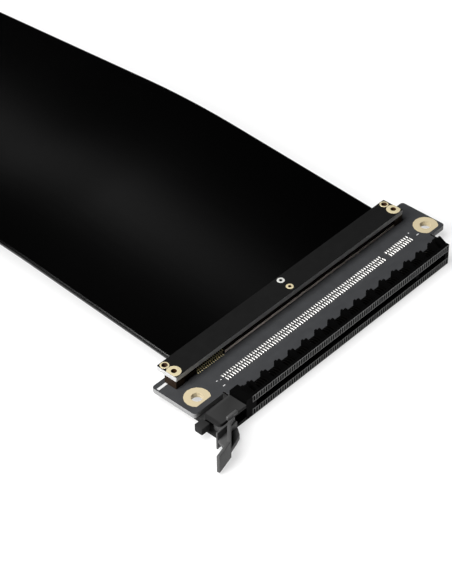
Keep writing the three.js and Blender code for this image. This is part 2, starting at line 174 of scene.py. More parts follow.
class Graph:
    """Builds the node tree of a material or of the world."""

    def __init__(self, owner: bpy.types.Material | bpy.types.World) -> None:
        owner.use_nodes = True
        self.tree = owner.node_tree
        self.tree.nodes.clear()

    def node(self, kind: str, settings: dict | None = None,
             inputs: dict | None = None) -> bpy.types.Node:
        """Adds a node of any type.

        Args:
            kind: the node's type name.
            settings: attributes to set on it.
            inputs: values or signals by input name or index.

        Returns:
            The new node.
        """
        made = self.tree.nodes.new(kind)
        for key, value in (settings or {}).items():
            setattr(made, key, value)
        for key, value in (inputs or {}).items():
            self.feed(made.inputs[key], value)
        return made

    def feed(self, socket: bpy.types.NodeSocket, value: object) -> None:
        """Links a signal to a socket, or sets a constant on it."""
        if isinstance(value, Signal):
            self.tree.links.new(value.socket, socket)
        elif isinstance(value, bpy.types.NodeSocket):
            self.tree.links.new(value, socket)
        elif isinstance(value, tuple) and len(value) == 3 and len(socket.default_value) == 4:
            socket.default_value = (*value, 1.0)
        else:
            socket.default_value = value

    def out(self, made: bpy.types.Node, name: object = 0) -> Signal:
        """Returns one output of a node as a signal."""
        return Signal(self, made.outputs[name])

    def maths(self, operation: str, first: object, second: object) -> Signal:
        """Returns one arithmetic step."""
        inputs = {0: first, 1: second}
        return self.out(self.node("ShaderNodeMath", {"operation": operation}, inputs))

    def remap(self, value: Signal, a: float, b: float, c: float, d: float) -> Signal:
        """Returns the value carried from the range a..b to c..d, kept inside it."""
        made = self.node("ShaderNodeMapRange", {"clamp": True}, {0: value, 1: a, 2: b, 3: c, 4: d})
        return self.out(made)

    def place(self, scale: Point) -> Signal:
        """Returns object coordinates, in metres times the scale."""
        coords = self.node("ShaderNodeTexCoord")
        inputs = {"Vector": coords.outputs["Object"], "Scale": scale}
        return self.out(self.node("ShaderNodeMapping", {}, inputs))

    def split(self, vector: object) -> tuple[Signal, ...]:
        """Returns the X, Y and Z of a vector."""
        made = self.node("ShaderNodeSeparateXYZ", {}, {0: vector})
        return tuple(self.out(made, axis) for axis in range(3))

    def across(self) -> Signal:
        """Returns X of the object coordinates in millimetres."""
        return self.split(self.place((MM_PER_M,) * 3))[0]

    def level(self) -> Signal:
        """Returns how far the surface faces straight up or down, from 0 to 1."""
        geometry = self.node("ShaderNodeNewGeometry")
        return self.split(geometry.outputs["Normal"])[2].size()

    def noise(self, per_mm: float, detail: float = 3.0, rough: float = 0.55,
              stretch: Point = (1.0, 1.0, 1.0)) -> Signal:
        """Returns smooth noise from 0 to 1 with features about 1 / per_mm across."""
        scale = tuple(MM_PER_M * per_mm * part for part in stretch)
        inputs = {"Vector": self.place(scale), "Scale": 1.0, "Detail": detail, "Roughness": rough}
        return self.out(self.node("ShaderNodeTexNoise", {}, inputs), "Fac")

    def blend(self, factor: object, first: object, second: object) -> Signal:
        """Returns a colour between two colours."""
        inputs = {0: factor, 6: first, 7: second}
        return self.out(self.node("ShaderNodeMix", {"data_type": "RGBA"}, inputs), 2)

    def bump(self, height: Signal, depth_mm: float) -> Signal:
        """Returns a normal from a height signal of that depth."""
        inputs = {"Strength": 1.0, "Distance": depth_mm * MM, "Height": height}
        return self.out(self.node("ShaderNodeBump", {}, inputs))

    def surface(self, **sockets: object) -> None:
        """Ends the tree in a Principled surface with these sockets."""
        inputs = {name.replace("_", " "): value for name, value in sockets.items()}
        shader = self.node("ShaderNodeBsdfPrincipled", {}, inputs)
        self.node("ShaderNodeOutputMaterial", {}, {0: shader.outputs[0]})


# Finishes


@dataclass(frozen=True)
class Finish:
    """A named surface finish that builds its own procedural material."""

    name: str
    colour: Colour
    roughness: float = 0.5

    def material(self) -> bpy.types.Material:
        """Returns the material, made the first time it is asked for."""
        found = bpy.data.materials.get(self.name)
        if found is None:
            found = bpy.data.materials.new(self.name)
            self.paint(Graph(found))
        return found

    def paint(self, g: Graph) -> None:
        """Writes the node tree. Each kind of finish has its own."""
        raise NotImplementedError


@dataclass(frozen=True)
class SolderMask(Finish):
    """A printed board: coated faces and cut glass-fibre edges."""

    edge: Colour = grey(150)
    weave: float = 0.05
    specular: float = 0.22

    def paint(self, g: Graph) -> None:
        side = 1.0 - g.remap(g.level(), 0.25, 0.75, 0.0, 1.0)
        mottle = g.noise(0.35, 4.0)
        fine = g.noise(3.0, 2.0)
        coat = g.blend(g.remap(mottle, 0.3, 0.7, 0.0, 1.0), self.colour,
                       shade(self.colour, 1.22))
        specks = g.remap(g.noise(1.4, 5.0, 0.7), 0.6, 0.7, 0.0, 0.45)
        coat = g.blend(specks, coat, shade(self.colour, 0.3))
        layers = g.noise(0.9, 3.0, 0.6, (0.15, 0.15, 9.0))
        cut = g.blend(layers, shade(self.edge, 0.55), self.edge)
        rough = self.roughness + (fine - 0.5) * 0.12 + side * 0.25
        height = fine * 0.6 + g.noise(1.1, 2.0) * self.weave * 8.0
        g.surface(Base_Color=g.blend(side, coat, cut), Roughness=rough,
                  Specular_IOR_Level=self.specular, Normal=g.bump(height, 0.012))


@dataclass(frozen=True)
class Moulded(Finish):
    """Moulded plastic with a fine grain, and convex edges painted lighter: slight wear and a
    painted highlight.
    """

    grain: float = 0.01
    # How much lighter convex edges are painted: slight wear and a painted highlight.
    wear_and_highlight: float = 1.5
    specular: float = 0.5
    pale_end: float | None = None

    def paint(self, g: Graph) -> None:
        fine = g.noise(6.0, 3.0)
        flow = g.noise(0.4, 3.0, 0.5, (0.4, 1.0, 1.0))
        geometry = g.node("ShaderNodeNewGeometry")
        # Painted highlight with slight wear: convex edges, found by pointiness, are blended toward
        # a lighter colour.
        edge = g.remap(g.out(geometry, "Pointiness"), 0.5, 0.58, 0.0, 1.0)
        worn_and_highlit = tuple(self.wear_and_highlight * part + 0.0005 for part in self.colour)
        tone = g.blend(g.remap(flow, 0.3, 0.7, 0.0, 1.0), self.colour,
                       shade(self.colour, 1.25))
        if self.pale_end is not None:
            tone = g.blend(g.across().under(self.pale_end), tone, PALE_PLASTIC)
        g.surface(Base_Color=g.blend(edge * 0.6, tone, worn_and_highlit),
                  Roughness=self.roughness + (fine - 0.5) * 0.15 + (flow - 0.5) * 0.1,
                  Specular_IOR_Level=self.specular,
                  Normal=g.bump(fine, self.grain))


@dataclass(frozen=True)
class Plating(Finish):
    """Thin metal plating with soft tarnish, and painted shade on its upright faces, such as a
    bore's walls.
    """

    dull: Colour = (0.3, 0.2, 0.1)
    tarnish: float = 0.25
    metal: float = 1.0
    # Painted shade for upright faces such as a bore's walls, or None for none.
    bore_shade: Colour | None = None

    def paint(self, g: Graph) -> None:
        cloud = g.noise(0.9, 4.0)
        fine = g.noise(7.0, 2.0)
        tone = g.blend(g.remap(cloud, 0.35, 0.8, 0.0, self.tarnish), self.colour, self.dull)
        # Painted shade: upright faces, as in a hole, are blended to a dark colour.
        if self.bore_shade is not None:
            tone = g.blend(g.remap(g.level(), 0.3, 0.6, 0.0, 1.0), self.bore_shade, tone)
        g.surface(Base_Color=tone, Metallic=self.metal,
                  Roughness=self.roughness + (fine - 0.5) * 0.18 + (cloud - 0.5) * 0.12,
                  Normal=g.bump(fine, 0.006))


@dataclass(frozen=True)
class Sheathing(Finish):
    """Smooth black sheath with a faint lengthwise lay and soft waves."""

    def paint(self, g: Graph) -> None:
        lay = g.noise(0.35, 2.0, 0.5, (1.0, 0.02, 1.0))
        wave = g.noise(0.02, 2.0)
        dust = g.noise(5.0, 3.0)
        tone = g.blend(g.remap(dust, 0.62, 0.8, 0.0, 0.3), self.colour,
                       shade(self.colour, 2.5))
        g.surface(Base_Color=tone, Roughness=self.roughness + (wave - 0.5) * 0.05,
                  Specular_IOR_Level=0.5,
                  Normal=g.bump(lay * 0.5 + wave, 0.02))


@dataclass(frozen=True)
class Laminate(Finish):
    """Flat cable film over fine parallel conductors."""

    pitch: float = 1.0

    def paint(self, g: Graph) -> None:
        ridge = g.maths("SINE", g.across() * (2 * math.pi / self.pitch), 0.0)
        tone = g.blend(g.remap(ridge, -1.0, 1.0, 0.0, 1.0), self.colour,
                       shade(self.colour, 1.6))
        g.surface(Base_Color=tone, Roughness=self.roughness + (g.noise(2.0) - 0.5) * 0.1,
                  Normal=g.bump(ridge, 0.03))


@dataclass(frozen=True)
class Ink(Finish):
    """Printed marks, a little broken up."""

    def paint(self, g: Graph) -> None:
        spots = g.noise(4.0, 3.0)
        tone = g.blend(g.remap(spots, 0.3, 0.75, 0.0, 0.35), self.colour, grey(120))
        g.surface(Base_Color=tone, Roughness=0.6 + (spots - 0.5) * 0.2,
                  Normal=g.bump(spots, 0.005))


PALE_PLASTIC = grey(60)
BOARD = SolderMask("board_mask", grey(50, (0.97, 1.0, 1.06)), 0.55, grey(150))
STRIP = SolderMask("strip_mask", grey(20), 0.5, grey(200), 0.05, 0.08)
HOUSING = Moulded("housing_black", grey(4), 0.6, 0.012, 1.2, 0.02, -38.0)
# Light grey for the strips on the slot's black front face: a painted highlight along its rims and
# the bars between its windows.
PAINTED_HIGHLIGHT_GRILLE = Moulded("painted_highlight_rails", grey(105), 0.55, 0.01, 1.2, 0.1)
LEVER = Moulded("latch_grey", grey(62), 0.55, 0.02, 1.3, 0.3)
SOCKET = Moulded("connector_black", grey(24, (1.5, 0.9, 0.55)), 0.55, 0.01, 1.6, 0.08)
LEDGE = Moulded("connector_ledge", grey(215, (1.1, 0.95, 0.88)), 0.55, 0.01, 1.1, 0.2)
SHEATH = Sheathing("sheath_gloss", (0.0002, 0.0002, 0.0002), 0.2)
SIGNAL = Laminate("signal_film", grey(34), 0.4)
GOLD = Plating("gold_plating", (0.88, 0.72, 0.45), 0.32, (0.45, 0.3, 0.12), 0.3)
PALE_GOLD = Plating("pale_gold", (0.55, 0.47, 0.31), 0.42, (0.5, 0.4, 0.22), 0.25, 0.15)
# The last colour here is painted shade inside the eyelets' bores.
EYELET = Plating("eyelet_gold", (0.62, 0.55, 0.36), 0.4, (0.5, 0.38, 0.18), 0.35, 0.2,
                 (0.06, 0.025, 0.008))
COMB = Plating("comb_gold", (0.95, 0.85, 0.5), 0.4, (0.5, 0.36, 0.15), 0.3, 0.1)
# The last colour here is painted shade inside the eyelet's bore.
PALE_TIN = Plating("pale_tin", (0.66, 0.66, 0.63), 0.4, (0.4, 0.4, 0.38), 0.3, 0.2,
                   (0.03, 0.03, 0.03))
TIN = Plating("tin", (0.66, 0.66, 0.64), 0.38, (0.35, 0.35, 0.34), 0.35)
# Contact springs painted nearly black: painted shade of the dark bays they sit in.
PAINTED_SHADE_SPRING = Plating("spring_painted_shade", (0.012, 0.011, 0.01), 0.5, (0.006, 0.005, 0.004), 0.4)
WHITE_INK = Ink("white_ink", grey(205))


# Places and meshes


# Slot-frame places that fix an end's origin: the main board's lowest corner, and the strip's near
# edge and underside.
BOARD_CORNER = (-58.3, -3.4, -1.6)
STRIP_NEAR, STRIP_LOW = 7.4, 2.9


@dataclass(frozen=True)
class EndFrame:
    """Carries slot-frame places to one end of the cable, in metres."""

    name: str
    origin: Vector
    along: float

    def at(self, x: float, y: float, z: float) -> Vector:
        """Returns the place in the part's frame."""
        return self.origin + Vector((x, self.along * y, z)) * MM

    def block(self, name: str, plan: Plan, low: float, tall: float,
              edge: float = 0.0) -> bpy.types.Mesh:
        """Returns a block that is rectangular in plan.

        Args:
            name: the new mesh's name.
            plan: its two X and two Y limits.
            low: height of its underside.
            tall: its height.
            edge: radius of its edges.
        """
        x0, x1, y0, y1 = plan
        outline = [self.at(x, y, low) for x, y in ((x0, y0), (x1, y0), (x1, y1), (x0, y1))]
        return Shapes.prism(outline, Vector((0, 0, tall * MM)), name, edge * MM)

    @classmethod
    def slot_end(cls) -> "EndFrame":
        """The end with the card slot: the main board's lowest corner is known."""
        low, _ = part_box("main_board")
        return cls("slot", low - Vector(BOARD_CORNER) * MM, 1.0)

    @classmethod
    def plug_end(cls, slot: "EndFrame") -> "EndFrame":
        """The end with the plug, mirrored along the cable and lying lower."""
        low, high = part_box("plug_strip")
        origin = Vector((slot.origin.x, high.y + STRIP_NEAR * MM, low.z - STRIP_LOW * MM))
        return cls("plug", origin, -1.0)


class Shapes:
    """Mesh builders. Each returns a closed mesh that faces outward."""

    @staticmethod
    def finish(bm: bmesh.types.BMesh, name: str, smooth: float = 0.0) -> bpy.types.Mesh:
        """Writes a bmesh to a mesh.

        Args:
            bm: the working mesh, which is freed.
            name: the new mesh's name.
            smooth: the largest angle between faces, in degrees, that is shaded smooth.
        """
        bmesh.ops.recalc_face_normals(bm, faces=bm.faces)
        limit = math.radians(smooth)
        for face in bm.faces:
            face.smooth = smooth > 0
        for edge in bm.edges:
            if len(edge.link_faces) == 2:
                edge.smooth = edge.calc_face_angle(0.0) < limit
        mesh = bpy.data.meshes.new(name)
        bm.to_mesh(mesh)
        bm.free()
        return mesh

    @staticmethod
    def prism(outline: Sequence[Vector], lift: Vector, name: str, bevel_m: float = 0.0,
              segments: int = 2) -> bpy.types.Mesh:
        """A flat outline drawn out along a vector, with rounded edges."""
        bm = bmesh.new()
        low = [bm.verts.new(p) for p in outline]
        high = [bm.verts.new(p + lift) for p in outline]
        bm.faces.new(low)
        bm.faces.new(list(reversed(high)))
        for i in range(len(low)):
            j = (i + 1) % len(low)
            bm.faces.new((low[j], low[i], high[i], high[j]))
        if bevel_m:
            bmesh.ops.bevel(bm, geom=bm.edges[:], offset=bevel_m, segments=segments,
                            profile=0.5, affect="EDGES", clamp_overlap=True)
        return Shapes.finish(bm, name, 40.0)

    @staticmethod
    def sweep(sections: Sequence[Sequence[Vector]], name: str, closed_ring: bool = False,
              smooth: float = 40.0) -> bpy.types.Mesh:
        """Skins a run of matching cross-sections, capped at both ends."""
        bm = bmesh.new()
        rings = [[bm.verts.new(p) for p in section] for section in sections]
        count = len(rings[0])
        for before, after in zip(rings, rings[1:]):
            for i in range(count):
                j = (i + 1) % count
                bm.faces.new((before[i], before[j], after[j], after[i]))
        if not closed_ring:
            bm.faces.new(rings[0])
            bm.faces.new(list(reversed(rings[-1])))
        return Shapes.finish(bm, name, smooth)

    @staticmethod
    def ribbon(path: Path, half: float, thick: float, along: float, side: float,
               name: str) -> bpy.types.Mesh:
        """A bent metal strip about its own origin.

        Args:
            path: Y and Z of its lower face, step by step.
            half: half its width.
            thick: its thickness.
            along: 1, or -1 to mirror it in Y.
            side: 1, or -1 to mirror it in Z.
            name: the new mesh's name.
        """
        sections = []
        for y, z in path:
            low = [Vector((x, along * y, side * z)) for x in (-half, half)]
            high = [Vector((x, along * y, side * (z + thick))) for x in (half, -half)]
            sections.append([p * MM for p in low + high])
        return Shapes.sweep(sections, name)


def add_piece(name: str, mesh: bpy.types.Mesh, finish: Finish,
              body: Body = Body.RISER, replaces: Iterable[str] = ()) -> bpy.types.Object:
    """Links a finished piece that moves with a body.

    Args:
        name: the piece's name.
        mesh: its mesh, already in the part's frame.
        finish: its surface.
        body: the body that it rides on.
        replaces: CAD nodes that it is shown in place of.
    """
    made = bpy.data.objects.new(name, mesh)
    bpy.context.scene.collection.objects.link(made)
    mesh.materials.clear()
    mesh.materials.append(finish.material())
    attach(made, body.value)
    if replaces:
        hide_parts(*replaces)
    return made


def dress_node(name: str, finish: Finish, bevel: float = 0.0, segments: int = 2) -> None:
    """Gives a CAD node its finish, and a bevel where its edges catch the light.

    Args:
        name: the CAD node.
        finish: its surface.
        bevel: edge radius in millimetres, or 0 for none.
        segments: steps round each edge.
    """
    node = FRAME["nodes"][name]
    if not node.data.materials:
        node.data.materials.append(None)
    for place in node.material_slots:
        place.link = "OBJECT"
        place.material = finish.material()
    if bevel:
        made = node.modifiers.new("edge", "BEVEL")
        made.width = bevel * MM
        made.segments = segments
        made.limit_method = "ANGLE"
        made.angle_limit = math.radians(40)


# Repeated parts


class RowTree:
    """Geometry nodes that set one template out along a contact row."""

    INPUTS = (
        ("Count", "NodeSocketInt", 82),
        ("Start", "NodeSocketVector", (0.0, 0.0, 0.0)),
        ("Pitch", "NodeSocketFloat", -0.001),
        ("Key After", "NodeSocketInt", 11),
        ("Key Gap", "NodeSocketFloat", -0.002),
        ("Jitter", "NodeSocketFloat", 0.0),
        ("Size Spread", "NodeSocketFloat", 0.0),
        ("Seed", "NodeSocketInt", 1),
        ("Template", "NodeSocketObject", None),
        ("Material", "NodeSocketMaterial", None),
    )

    def __init__(self) -> None:
        self.tree = bpy.data.node_groups.new("contact_row", "GeometryNodeTree")
        self.ids: dict[str, str] = {}
        face = self.tree.interface
        for name, kind, value in self.INPUTS:
            item = face.new_socket(name, in_out="INPUT", socket_type=kind)
            if value is not None:
                item.default_value = value
            self.ids[name] = item.identifier
        face.new_socket("Geometry", in_out="OUTPUT", socket_type="NodeSocketGeometry")
        self._build()

    def node(self, kind: str, settings: dict | None = None,
             inputs: dict | None = None) -> bpy.types.Node:
        """Adds a node of any type, with settings and inputs."""
        made = self.tree.nodes.new(kind)
        for key, value in (settings or {}).items():
            setattr(made, key, value)
        for key, value in (inputs or {}).items():
            if isinstance(value, bpy.types.NodeSocket):
                self.tree.links.new(value, made.inputs[key])
            else:
                made.inputs[key].default_value = value
        return made

    def maths(self, operation: str, first: object, second: object) -> bpy.types.NodeSocket:
        """Adds one arithmetic step and returns its output."""
        made = self.node("ShaderNodeMath", {"operation": operation}, {0: first, 1: second})
        return made.outputs[0]

    def _build(self) -> None:
        given = self.node("NodeGroupInput").outputs
        points = self.node("GeometryNodeMeshLine", {}, {
            "Count": given["Count"], "Start Location": given["Start"], "Offset": (0.0, 0.0, 0.0),
        })
        index = self.node("GeometryNodeInputIndex").outputs[0]
        whole = {"data_type": "INT", "operation": "GREATER_EQUAL"}
        past = self.node("FunctionNodeCompare", whole, {2: index, 3: given["Key After"]}).outputs[0]
        steps = self.maths("MULTIPLY", index, given["Pitch"])
        skipped = self.maths("MULTIPLY", past, given["Key Gap"])
        wobble = self.node("FunctionNodeRandomValue", {"data_type": "FLOAT"}, {
            2: self.maths("MULTIPLY", given["Jitter"], -1.0), 3: given["Jitter"],
            "ID": index, "Seed": given["Seed"],
        }).outputs[1]
        along = self.maths("ADD", self.maths("ADD", steps, skipped), wobble)
        shift = self.node("ShaderNodeCombineXYZ", {}, {0: along, 1: 0.0, 2: 0.0}).outputs[0]
        moved = self.node("GeometryNodeSetPosition", {}, {
            "Geometry": points.outputs[0], "Offset": shift,
        })
        low = self.maths("SUBTRACT", 1.0, given["Size Spread"])
        high = self.maths("ADD", 1.0, given["Size Spread"])
        spread = self.node("FunctionNodeRandomValue", {"data_type": "FLOAT"}, {
            2: low, 3: high, "ID": index, "Seed": self.maths("ADD", given["Seed"], 7.0),
        }).outputs[1]
        info = self.node("GeometryNodeObjectInfo", {"transform_space": "ORIGINAL"}, {
            "Object": given["Template"], "As Instance": True,
        })
        copies = self.node("GeometryNodeInstanceOnPoints", {}, {
            "Points": moved.outputs[0], "Instance": info.outputs["Geometry"], "Scale": spread,
        })
        real = self.node("GeometryNodeRealizeInstances", {}, {"Geometry": copies.outputs[0]})
        dressed = self.node("GeometryNodeSetMaterial", {}, {
            "Geometry": real.outputs[0], "Material": given["Material"],
        })
        self.node("NodeGroupOutput", {}, {0: dressed.outputs[0]})

    def run(self, name: str, template: bpy.types.Mesh, start: Vector, finish: Finish, slot: Slot,
            **values: object) -> bpy.types.Object:
        """Sets out a row and returns it as one plain mesh piece.

        Args:
            name: the piece's name.
            template: one member of the row, about its own origin, in metres.
            start: the first member's place.
            finish: the row's surface.
            slot: the record's material slot; not used.
            **values: other inputs by name, with underscores for spaces.
        """
        pattern = bpy.data.objects.new(name + "_pattern", template)
        bpy.context.scene.collection.objects.link(pattern)
        carrier = bpy.data.objects.new(name, bpy.data.meshes.new(name))
        bpy.context.scene.collection.objects.link(carrier)
        row = carrier.modifiers.new("row", "NODES")
        row.node_group = self.tree
        given = {"Start": start, "Template": pattern, "Material": finish.material()}
        given.update({key.replace("_", " "): value for key, value in values.items()})
        for key, value in given.items():
            row[self.ids[key]] = value
        bpy.context.view_layer.update()
        graph = bpy.context.evaluated_depsgraph_get()
        mesh = bpy.data.meshes.new_from_object(carrier.evaluated_get(graph))
        mesh.name = name
        carrier.modifiers.remove(row)
        bpy.data.objects.remove(carrier)
        bpy.data.objects.remove(pattern)
        return add_piece(name, mesh, finish)


# Sub-assemblies


def plain_row(count: int, pitch: float, seed: int, jitter: float = 0.0,
              spread: float = 0.0) -> dict:
    """Returns a row tree's inputs for an even row with no key gap.

    Args:
        count: how many members.
        pitch: distance between them, toward the latch.
        seed: the row's seed.
        jitter: largest shift along the row.
        spread: largest change of size, as a share.
    """
    return {"Count": count, "Pitch": -pitch * MM, "Key_After": count, "Key_Gap": 0.0,
            "Seed": seed, "Jitter": jitter * MM, "Size_Spread": spread}


@dataclass(frozen=True)
class CardRow:
    """Contact positions of a sixteen-lane card."""

    first: float = 41.5
    count: int = 82
    pitch: float = 1.0
    key_after: int = 11
    key_gap: float = 2.0

    def values(self, seed: int, jitter: float = 0.0, spread: float = 0.0) -> dict:
        """Returns a row tree's inputs for this row."""
        plain = plain_row(self.count, self.pitch, seed, jitter, spread)
        return plain | {"Key_After": self.key_after, "Key_Gap": -self.key_gap * MM}


# Small printed bars on the main board: name, middle in X and Y, and length.
SMALL_MARKS = (
    ("left_mark_back", -44.16, 1.34, 0.45), ("left_mark_front", -44.1, -1.37, 0.9),
    ("left_mark_inner", -42.91, 0.92, 0.35), ("right_mark_back", 43.37, 2.32, 0.45),
    ("right_mark_front", 44.71, -0.13, 1.0),
)


@dataclass
class MainBoard:
    """Board with its mounting pads, solder joints and printed marks."""

    end: EndFrame
    rows: RowTree
    card: CardRow = field(default_factory=CardRow)
    front_joint: tuple[float, float] = (1.75, 0.38)
    back_joint: tuple[float, float] = (1.2, 0.36)
    joint_rise: float = 0.32
    joint_sides: int = 12
    joint_shape: Path = ((0.0, 1.0), (0.3, 0.97), (0.7, 0.8), (0.92, 0.5), (1.0, 0.2))
    front_row_y: float = -0.1
    back_row_y: float = 1.5
    back_row_shift: float = 0.18
    end_mark: Plan = (-57.8, -52.6, 10.9, 11.8)
    mark_half: float = 0.14
    ink_thick: float = 0.02
    deck_plan: Plan = (-46.4, 46.4, -7.05, -3.46)
    deck_top: float = 0.61
    deck_skin: float = 0.06

    @staticmethod
    def squared(part: float) -> float:
        """Returns a sine or cosine drawn out toward a square's side."""
        return math.copysign(abs(part) ** 0.5, part)

    def joint(self, long: float, wide: float) -> bpy.types.Mesh:
        """One solder joint: a low bar on its pad with a rounded back."""
        angles = [2 * math.pi * i / self.joint_sides for i in range(self.joint_sides)]
        rings = []
        for level, spread in self.joint_shape:
            x, y = wide / 2 * spread, long / 2 - wide / 2 * (1 - spread)
            z = self.joint_rise * level
            rings.append([Vector((x * self.squared(math.cos(a)), y * self.squared(math.sin(a)), z))
                          * MM for a in angles])
        return Shapes.sweep(rings, "joint", smooth=60.0)

    def mark(self, name: str, plan: Plan) -> None:
        """One printed bar on the board's top."""
        add_piece(name, self.end.block(name, plan, 0.0, self.ink_thick), WHITE_INK)

    def build(self) -> None:
        """Adds the joints, the marks and the coated reach over the slot's rear deck."""
        front = self.end.at(self.card.first, self.front_row_y, 0.0)
        back = self.end.at(self.card.first - self.back_row_shift, self.back_row_y, 0.0)
        self.rows.run("front_solder_row", self.joint(*self.front_joint), front, TIN, Slot.TIN,
                      **self.card.values(3, 0.02, 0.04))
        self.rows.run("back_solder_row", self.joint(*self.back_joint), back, TIN, Slot.TIN,
                      **self.card.values(4, 0.02, 0.05))
        self.mark("end_mark", self.end_mark)
        for name, x, y, long in SMALL_MARKS:
            self.mark(name, (x - long / 2, x + long / 2, y - self.mark_half, y + self.mark_half))
        reach = self.end.block("board_reach", self.deck_plan, self.deck_top, self.deck_skin)
        add_piece("board_reach", reach, BOARD)

    def dress(self) -> None:
        """Finishes the CAD nodes."""
        dress_node("main_board", BOARD, 0.08)
        for side in ("left", "right"):
            dress_node(f"{side}_mount_eyelet", PALE_GOLD, 0.02, 1)


@dataclass
class SlotHousing:
    """Card slot with its contacts and the windows in its front wall, the windows drawn as strips of
    painted highlight.
    """

    end: EndFrame
    rows: RowTree
    card: CardRow = field(default_factory=CardRow)
    mouth: float = -12.35
    middle: float = -0.8
    bay_floor: float = 1.44
    spring_back: float = -7.35
    spring_path: Path = ((0.0, 0.02), (0.9, 0.45), (2.0, 0.75), (3.0, 0.6), (3.7, 0.3))
    spring_half: float = 0.2
    spring_thick: float = 0.16
    window_lows: tuple[float, float] = (0.5, -4.45)
    window_tall: float = 2.35
    window_half: float = 44.2
    rail: float = 0.22
    proud: float = 0.05
    bar_half: float = 0.15
    first_bar: float = 43.0
    bars: int = 87
    web: Block = ((-56.9, -46.4, -5.9, -1.5), -3.6, 1.92, 0.1)
    peg: Block = ((-61.4, -57.9, -9.0, -5.98), -2.3, 2.55, 0.45)

    def spring(self, side: float) -> bpy.types.Mesh:
        """One contact spring in its bay, from heel to tip."""
        return Shapes.ribbon(self.spring_path, self.spring_half, self.spring_thick, -1.0, side,
                             "spring")

    def build(self) -> None:
        """Adds the springs in painted shade, the window rows in painted highlight and the blocks at
        the latch's carrier.
        """
        for name, side, seed in (("upper_springs", 1.0, 11), ("lower_springs", -1.0, 12)):
            z = self.middle + side * self.bay_floor
            start = self.end.at(self.card.first, self.spring_back, z)
            self.rows.run(name, self.spring(side), start, PAINTED_SHADE_SPRING, Slot.TIN,
                          **self.card.values(seed))
        for name, low, seed in zip(("upper_windows", "lower_windows"), self.window_lows, (13, 14)):
            self.windows(name, low, seed)
        for name, sizes in (("carrier_web", self.web), ("stop_peg_block", self.peg)):
            add_piece(name, self.end.block(name, *sizes), HOUSING)

    def panel(self, x0: float, x1: float, z0: float, z1: float) -> bpy.types.Mesh:
        """A thin upright panel on the front face."""
        outline = [self.end.at(x, self.mouth, z) for x, z in
                   ((x0, z0), (x1, z0), (x1, z1), (x0, z1))]
        return Shapes.prism(outline, Vector((0, -self.proud * MM, 0)), "panel")

    def windows(self, name: str, low: float, seed: int) -> None:
        """Rails and bars of one row of contact windows on the front face: light grey strips that
        are a painted highlight on the black plastic.

        Args:
            name: start of the pieces' names.
            low: height of the row's lower edge.
            seed: the row's seed.
        """
        rail, tall, half = self.rail, self.window_tall, self.window_half
        bm = bmesh.new()
        for z in (low, low + tall - rail):
            bm.from_mesh(self.panel(-half, half, z, z + rail))
        for x in (-half, half - rail):
            bm.from_mesh(self.panel(x, x + rail, low + rail, low + tall - rail))
        add_piece(f"{name}_rails", Shapes.finish(bm, f"{name}_rails"), PAINTED_HIGHLIGHT_GRILLE)
        side = [Vector((x, 0, z)) * MM for x, z in
                ((-self.bar_half, rail), (self.bar_half, rail),
                 (self.bar_half, tall - rail), (-self.bar_half, tall - rail))]
        bar = Shapes.prism(side, Vector((0, -self.proud * MM, 0)), "bar")
        self.rows.run(f"{name}_bars", bar, self.end.at(self.first_bar, self.mouth, low), PAINTED_HIGHLIGHT_GRILLE,
                      Slot.HOUSING, **plain_row(self.bars, self.card.pitch, seed))

    def dress(self) -> None:
        """Finishes the CAD nodes."""
        dress_node("slot_housing", HOUSING, 0.07)


# Upright walls of the lever: start and end in plan, and thickness.
LEVER_WALLS = (
    ((-55.9, -13.95), (-61.2, -14.35), 0.6),
    ((-55.6, -13.9), (-61.4, -19.2), 1.1),
    ((-61.2, -19.05), (-67.5, -20.7), 1.0),
)
# Flat parts of the lever: plan outline, underside, top and edge radius. They are the web beside
# the wall, the foot, the saddle over the carrier and the neck below it.
LEVER_SLABS = (
    (((-56.0, -14.1), (-61.0, -14.5), (-61.7, -16.8), (-61.4, -19.0)), -1.3, -0.3, 0.12),
    (((-52.4, -13.0), (-52.4, -14.1), (-54.0, -16.3), (-56.1, -17.1), (-60.4, -18.5),
      (-55.6, -13.9)), -4.0, -2.2, 0.12),
    (((-51.0, -13.1), (-55.2, -13.1), (-55.2, -12.1), (-51.0, -12.1)), 1.52, 2.85, 0.4),
    (((-52.6, -13.3), (-55.9, -14.2), (-56.1, -13.7), (-55.2, -13.1), (-52.6, -12.6)),
     0.1, 1.75, 0.12),
)
LEVER_ROOT = ((-56.5, -9.6), (-52.7, -9.6), (-52.3, -13.9), (-55.8, -14.2), (-56.0, -13.3))


